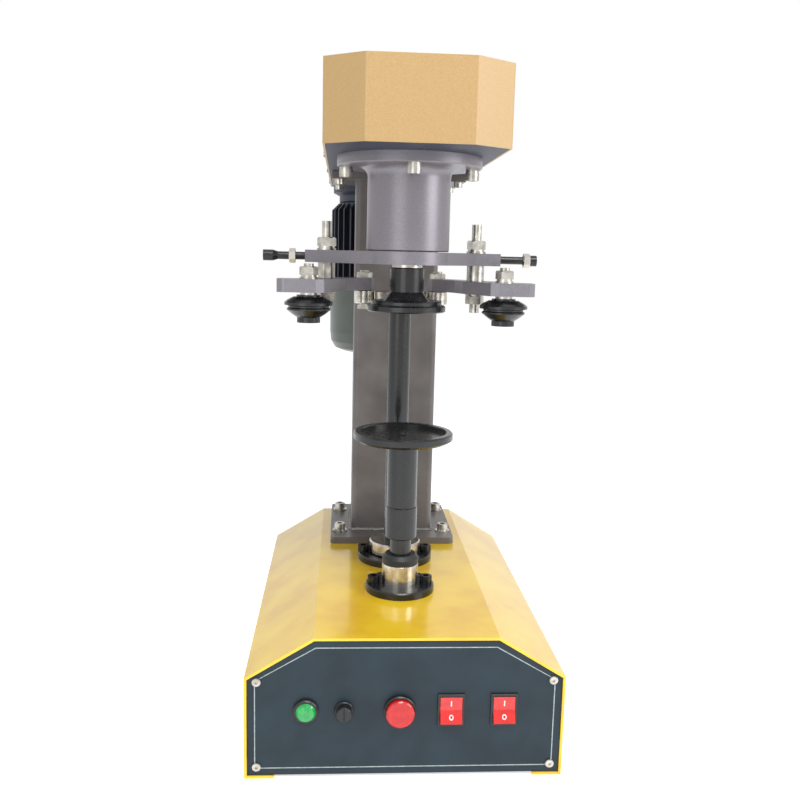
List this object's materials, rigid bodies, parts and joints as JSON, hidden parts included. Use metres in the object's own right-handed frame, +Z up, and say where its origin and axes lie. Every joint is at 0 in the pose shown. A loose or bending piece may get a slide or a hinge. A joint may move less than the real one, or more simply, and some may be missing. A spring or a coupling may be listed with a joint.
{
  "type": "can seamer",
  "caption": "Bench can seamer: folded base with control panel, column, lifting can table, belt-driven chuck and cam-swung seaming rollers.",
  "frame": {"origin": "on the floor under the middle of the machine's bounding box", "axes": "+X to the right seen from the control panel, +Y to the back, +Z up"},
  "size_m": [0.3, 0.575, 0.652],
  "materials": {
    "yellow_enamel": "gloss yellow enamel on folded steel sheet",
    "panel_film": "dark blue-green panel film on aluminium sheet",
    "gold_hammer_paint": "fine-textured gold paint on steel sheet",
    "silver_casting_paint": "silver-grey paint on cast iron",
    "column_paint": "satin grey paint on steel tube",
    "navy_paint": "dark navy-grey paint",
    "motor_paint": "dark paint on finned aluminium casting",
    "fan_cover_paint": "grey-green paint on pressed sheet",
    "black_oxide": "black-oxide steel, lightly oiled",
    "bright_steel": "turned and zinc-plated steel",
    "inner_steel": "plain mild steel",
    "black_plastic": "moulded black plastic",
    "red_plastic": "moulded red plastic",
    "green_lens": "moulded green lens",
    "belt_rubber": "fabric-covered vee belt",
    "seal_rubber": "nitrile wiper seal"
  },
  "bodies": {
    "root": {"base_shell": "yellow_enamel", "deck_plate": "inner_steel", "floor_plate": "inner_steel", "front_panel": "panel_film", "rear_panel": "yellow_enamel", "panel_screws": "bright_steel", "control_bezels": "black_plastic", "lamp_lens": "green_lens", "fuse_holder": "black_plastic", "switch_frames": "black_plastic", "cable_gland": "black_plastic", "lift_gearmotor": "inner_steel", "bush_flanges": "black_oxide", "front_bush": "bright_steel", "bush_seal": "seal_rubber", "flange_screws": "black_oxide", "rear_bush": "bright_steel", "column_foot": "column_paint", "column": "column_paint", "column_bolts": "bright_steel", "head_plate": "navy_paint", "head_cover": "gold_hammer_paint", "spindle_housing": "silver_casting_paint", "head_bolts": "bright_steel", "spindle_bearings": "bright_steel", "drive_belts": "belt_rubber", "motor_body": "motor_paint", "motor_flange": "navy_paint", "motor_fan_cover": "fan_cover_paint", "arm_bracket": "silver_casting_paint"},
    "rod": {"lift_rod": "black_oxide"},
    "table": {"lift_collar": "black_oxide", "lift_sleeve": "black_oxide", "lift_plate": "black_oxide", "plate_screw": "black_oxide"},
    "lever": {"lift_lever": "inner_steel"},
    "cam": {"cam_shaft": "black_oxide", "arm_cam": "bright_steel", "lift_cam": "inner_steel"},
    "spindle": {"spindle_shaft": "bright_steel", "spindle_pulley": "inner_steel", "seaming_chuck": "black_oxide"},
    "rotor": {"motor_shaft": "bright_steel", "motor_pulley": "inner_steel"},
    "jog_button": {"button_cap": "red_plastic"},
    "lift_rocker": {"lift_switch_rocker": "red_plastic"},
    "die_rocker": {"die_switch_rocker": "red_plastic"},
    "fuse": {"fuse_cap": "black_plastic"},
    "left_post": {"left_pivot_post": "bright_steel"},
    "left_arm": {"left_roller_arm": "silver_casting_paint", "left_arm_bolts": "bright_steel"},
    "left_roller": {"left_seaming_roller": "black_oxide"},
    "left_follower": {"left_cam_follower": "bright_steel"},
    "left_screw": {"left_adjusting_screw": "black_oxide"},
    "right_post": {"right_pivot_post": "bright_steel"},
    "right_arm": {"right_roller_arm": "silver_casting_paint", "right_arm_bolts": "bright_steel"},
    "right_roller": {"right_seaming_roller": "black_oxide"},
    "right_follower": {"right_cam_follower": "bright_steel"},
    "right_screw": {"right_adjusting_screw": "black_oxide"}
  },
  "joints": [
    {"name": "lift_travel", "type": "slide", "parent": "root", "child": "rod", "axis": [0, 0, 1], "range_m": [0, 0.012]},
    {"name": "table_height", "type": "slide", "parent": "rod", "child": "table", "axis": [0, 0, 1], "range_m": [-0.015, 0.04]},
    {"name": "lever_swing", "type": "hinge", "parent": "root", "child": "lever", "pos_m": [0, -0.2485, 0.094], "axis": [1, 0, 0], "range_deg": [0, 7.4]},
    {"name": "cam_turn", "type": "hinge", "parent": "root", "child": "cam", "pos_m": [0, -0.0535, 0.2], "axis": [0, 0, 1], "range_deg": [0, 120]},
    {"name": "spindle_spin", "type": "hinge", "parent": "root", "child": "spindle", "pos_m": [0, -0.1535, 0.5], "axis": [0, 0, 1], "continuous": true},
    {"name": "motor_spin", "type": "hinge", "parent": "root", "child": "rotor", "pos_m": [-0.008, 0.1965, 0.56], "axis": [0, 0, 1], "continuous": true},
    {"name": "jog_press", "type": "slide", "parent": "root", "child": "jog_button", "axis": [0, 1, 0], "range_m": [0, 0.004], "stiffness_N_per_m": 400},
    {"name": "lift_switch_rock", "type": "hinge", "parent": "root", "child": "lift_rocker", "pos_m": [0.0425, -0.277, 0.067], "axis": [1, 0, 0], "range_deg": [0, 20]},
    {"name": "die_switch_rock", "type": "hinge", "parent": "root", "child": "die_rocker", "pos_m": [0.0925, -0.277, 0.067], "axis": [1, 0, 0], "range_deg": [0, 20]},
    {"name": "fuse_cap_turn", "type": "hinge", "parent": "root", "child": "fuse", "pos_m": [-0.0575, -0.2785, 0.067], "axis": [0, -1, 0], "range_deg": [0, 90]},
    {"name": "left_post_slide", "type": "slide", "parent": "root", "child": "left_post", "axis": [-1, 0, 0], "range_m": [0, 0.01]},
    {"name": "left_screw_slide", "type": "slide", "parent": "root", "child": "left_screw", "axis": [-1, 0, 0], "range_m": [0, 0.0101]},
    {"name": "left_arm_swing", "type": "hinge", "parent": "left_post", "child": "left_arm", "pos_m": [-0.081, -0.1135, 0.455], "axis": [0, 0, 1], "range_deg": [0, 8.2]},
    {"name": "left_roller_spin", "type": "hinge", "parent": "left_arm", "child": "left_roller", "pos_m": [-0.0975, -0.1585, 0.43], "axis": [0, 0, 1], "continuous": true},
    {"name": "left_follower_spin", "type": "hinge", "parent": "left_arm", "child": "left_follower", "pos_m": [-0.0403, -0.0645, 0.44], "axis": [0, 0, 1], "continuous": true},
    {"name": "right_post_slide", "type": "slide", "parent": "root", "child": "right_post", "axis": [1, 0, 0], "range_m": [0, 0.01]},
    {"name": "right_screw_slide", "type": "slide", "parent": "root", "child": "right_screw", "axis": [1, 0, 0], "range_m": [0, 0.0101]},
    {"name": "right_arm_swing", "type": "hinge", "parent": "right_post", "child": "right_arm", "pos_m": [0.0745, -0.1135, 0.455], "axis": [0, 0, 1], "range_deg": [-8.2, 0]},
    {"name": "right_roller_spin", "type": "hinge", "parent": "right_arm", "child": "right_roller", "pos_m": [0.0975, -0.1585, 0.43], "axis": [0, 0, 1], "continuous": true},
    {"name": "right_follower_spin", "type": "hinge", "parent": "right_arm", "child": "right_follower", "pos_m": [0.04, -0.0645, 0.44], "axis": [0, 0, 1], "continuous": true}
  ],
  "couplings": [
    {"joint": "lever_swing", "follows": "lift_travel", "rad_per_m": 10.526},
    {"joint": "motor_spin", "follows": "spindle_spin", "ratio": 1.8065},
    {"joint": "left_screw_slide", "follows": "left_post_slide", "ratio": 1},
    {"joint": "left_arm_swing", "follows": "cam_turn", "ratio": 0.066667},
    {"joint": "right_screw_slide", "follows": "right_post_slide", "ratio": 1},
    {"joint": "right_arm_swing", "follows": "cam_turn", "ratio": -0.066667}
  ]
}
